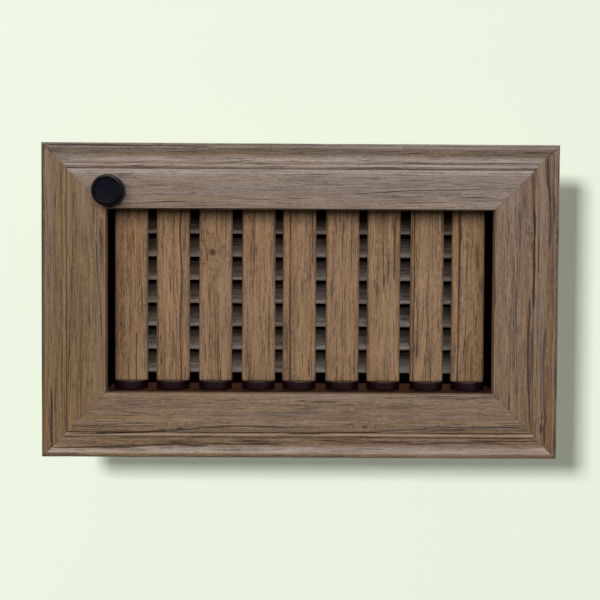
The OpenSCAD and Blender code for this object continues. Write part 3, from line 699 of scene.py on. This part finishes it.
finish("painted_hardboard", [nodes["neck_" + side] for side in ("top", "bottom", "left", "right")], hardboard)


def metal(pale, deep, roughness, scratch=1.0):
    """Bare or plated metal: a cloudy tone with fine scratches in its gloss."""
    def paint(start):
        coordinates = start.node("TexCoord", out="Object")
        cloud = start.node("TexNoise", {"Vector": coordinates, "Scale": 220, "Detail": 4})
        lines = start.node("TexNoise", {"Vector": coordinates.stretched((300, 2600, 300)), "Scale": 1, "Detail": 2})
        colour = start.node("ValToRGB", {"Fac": cloud}, stops=((0.35, tone(deep)), (0.65, tone(pale))))
        bump = start.node("Bump", {"Height": lines * scratch, "Distance": 0.00002, "Strength": 0.7})
        return {"Base Color": colour, "Metallic": 1.0, "Roughness": (lines - 0.5) * 0.3 + roughness, "Normal": bump}
    return paint


finish("zinc_plate", [nodes["neck_screws"], nodes["corner_nails"], nodes["knob_screw"]], metal("#c4c6c4", "#8f918f", 0.36))
finish("bright_steel", [nodes["knob_shaft"]], metal("#d0cfcc", "#a8a6a2", 0.28))
finish("brass_bush", [nodes["shaft_bush"]], metal("#caa55c", "#94753a", 0.3))


def enamel(start):
    coordinates = start.node("TexCoord", out="Object")
    peel = start.node("TexNoise", {"Vector": coordinates, "Scale": 900, "Detail": 2})
    colour = start.node("ValToRGB", {"Fac": peel}, stops=((0.3, tone("#070607")), (0.7, tone("#0f0e10"))))
    bump = start.node("Bump", {"Height": peel, "Distance": 0.00003, "Strength": 0.8})
    return {"Base Color": colour, "Roughness": 0.4 + (peel - 0.5) * 0.2, "Normal": bump,
            "Specular IOR Level": 0.1}


finish("black_enamel", [nodes["link_bar"], nodes["crank_arm"]], enamel)


# The knob: turned black plastic with a rounded rim. A dished disc is pressed into its face
# and hides the screw that holds it on the shaft.
knob_low, knob_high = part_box("knob")
knob_turn = Matrix.Translation(((knob_low.x + knob_high.x) / 2, knob_high.y, (knob_low.z + knob_high.z) / 2)) \
    @ Matrix.Rotation(math.pi / 2, 4, "X")
knob_r, knob_h = (knob_high.x - knob_low.x) / 2, knob_high.y - knob_low.y
inlay_low, inlay_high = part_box("knob_inlay")
inlay_r, inlay_back = (inlay_high.x - inlay_low.x) / 2, knob_high.y - inlay_high.y
rim_r, foot_r, lip = 0.003, 0.001, 0.0006
knob_outline = np.concatenate([
    [(0, 0)], arc(knob_r - foot_r, foot_r, foot_r, -90, 0),
    arc(knob_r - rim_r, knob_h - rim_r, rim_r, 0, 90),
    arc(inlay_r + lip, knob_h - lip, lip, 90, 180),
    [(inlay_r, inlay_back), (0, inlay_back)],
])
inlay_h = inlay_high.y - inlay_low.y
dish = 0.0008
across = np.linspace(1, 0, 24)[1:]
inlay_outline = np.concatenate([
    [(0, 0), (inlay_r - 0.00002, 0)], arc(inlay_r - lip, inlay_h - lip, lip, 0, 90),
    np.stack([(inlay_r - lip) * across, inlay_h - dish * (1 - across ** 2)], 1),
])
knob = place(lathe("knob_cap", knob_outline, 128, knob_turn), "knob", "knob")
inlay = place(lathe("knob_disc", inlay_outline, 128, knob_turn @ Matrix.Translation((0, 0, inlay_back))),
              "knob", "knob_inlay")
finish("black_satin", [knob], plastic("#060507", 0.36, 0.00002, 0.06))
# The blue in the disc's near-black colour is a painted bluish reflection.
finish("black_disc", [inlay], plastic("#090a14", 0.3, 0.00002, 0.07))


# The studio: a pale wall just behind the neck, which keeps the vent's shadow, a black card at
# the neck's mouth that stands in for the shade inside the duct, and a pale floor. Each shows
# from its front side only.
def screen(name, corners, colour):
    """A flat matt sheet of the stage, whose back lets everything through. It throws neither
    shadow nor stray light on the vent."""
    mesh = bpy.data.meshes.new(name)
    mesh.from_pydata(corners, [], [tuple(range(len(corners)))])
    sheet = bpy.data.objects.new(name, mesh)
    bpy.context.scene.collection.objects.link(sheet)
    stuff = bpy.data.materials.new(name)
    stuff.use_nodes = True
    stuff.node_tree.nodes.clear()
    start = Wire(stuff.node_tree)
    matt = start.node("BsdfDiffuse", {"Color": colour})
    clear = start.node("BsdfTransparent")
    start.node("OutputMaterial", {"Surface": start.node(
        "MixShader", {0: start.node("NewGeometry", out="Backfacing"), 1: matt, 2: clear})})
    mesh.materials.append(stuff)
    sheet.visible_shadow = sheet.visible_diffuse = False
    return sheet


wall_y = neck_high.y + 0.002
sheets = [screen("pale_wall", [(-3, wall_y, -1), (3, wall_y, -1), (3, wall_y, 3), (-3, wall_y, 3)], tone("#ecf5e2")),
          # A black sheet standing in for the shade inside the duct.
          screen("duct_shade_card", [(neck_low.x, wall_y - 0.001, neck_low.z), (neck_high.x, wall_y - 0.001, neck_low.z),
                     (neck_high.x, wall_y - 0.001, neck_high.z), (neck_low.x, wall_y - 0.001, neck_high.z)], (0, 0, 0, 1)),
          screen("pale_floor", [(-3, -3, -0.7), (3, -3, -0.7), (3, 3, -0.7), (-3, 3, -0.7)], tone("#e6e9e0"))]


# The lights: a broad box in front and a little above lights the vent, a box behind its back, and
# far panels the stage, where the one to the upper left throws the shadow. Two only show as sheen.
# The pale room around shows to the camera, in gloss and through clear matter, and lights little.
stage_only = bpy.data.collections.new("stage_only")
all_but_stage = bpy.data.collections.new("all_but_stage")
for group in (stage_only, all_but_stage):
    for sheet in sheets:
        group.objects.link(sheet)
for member in all_but_stage.collection_objects:
    member.light_linking.link_state = "EXCLUDE"


def panel(name, where, width, height, level, colour, lights_up, matt=True, glossy=True):
    """An area light that faces the vent; level is what it adds to a white card that faces it,
    so its power is pi squared times the distance squared times the level."""
    lamp = bpy.data.lights.new(name, "AREA")
    lamp.shape, lamp.size, lamp.size_y = "RECTANGLE", width, height
    lamp.energy = level * math.pi ** 2 * Vector(where).length_squared
    lamp.color = colour
    light = bpy.data.objects.new(name, lamp)
    light.matrix_world = Matrix.Translation(where) @ Vector(where).to_track_quat("Z", "Y").to_matrix().to_4x4()
    light.visible_diffuse, light.visible_glossy = matt, glossy
    light.light_linking.receiver_collection = lights_up
    bpy.context.scene.collection.objects.link(light)


white = (1.0, 1.0, 1.0)
panel("stage_key", (-8.1, -12.8, 5.1), 3.0, 3.0, 0.885, white, stage_only)
panel("stage_fill", (0.0, -8.0, 0.3), 2.0, 2.0, 0.24, white, stage_only)
panel("front_box", (-0.1, -2.2, 0.64), 3.0, 1.05, 1.1, white, all_but_stage, glossy=False)
panel("stage_top", (0.0, 0.6, 8.0), 2.0, 2.0, 0.55, white, stage_only)
panel("back_box", (0.3, 1.4, 0.7), 1.4, 0.8, 0.9, white, all_but_stage, glossy=False)
panel("top_sheen", (0.0, -1.05, 1.8), 2.6, 1.2, 4.3, (0.93, 0.96, 1.0), all_but_stage, matt=False)
panel("window_sheen", (1.44, -2.21, 0.56), 0.8, 0.8, 0.45, (0.5, 0.65, 1.0), all_but_stage, matt=False)
sky = bpy.data.worlds.new("studio")
bpy.context.scene.world = sky
sky.use_nodes = True
sky.node_tree.nodes.clear()
start = Wire(sky.node_tree)
seen = start.node("LightPath", out="Is Camera Ray") + start.node("LightPath", out="Is Glossy Ray") \
    + start.node("LightPath", out="Is Transmission Ray")
start.node("OutputWorld", {"Surface": start.node("Background", {
    "Color": tone("#eef2ea"), "Strength": start.sum("MINIMUM", seen, 1.0) * 0.83 + 0.07})})
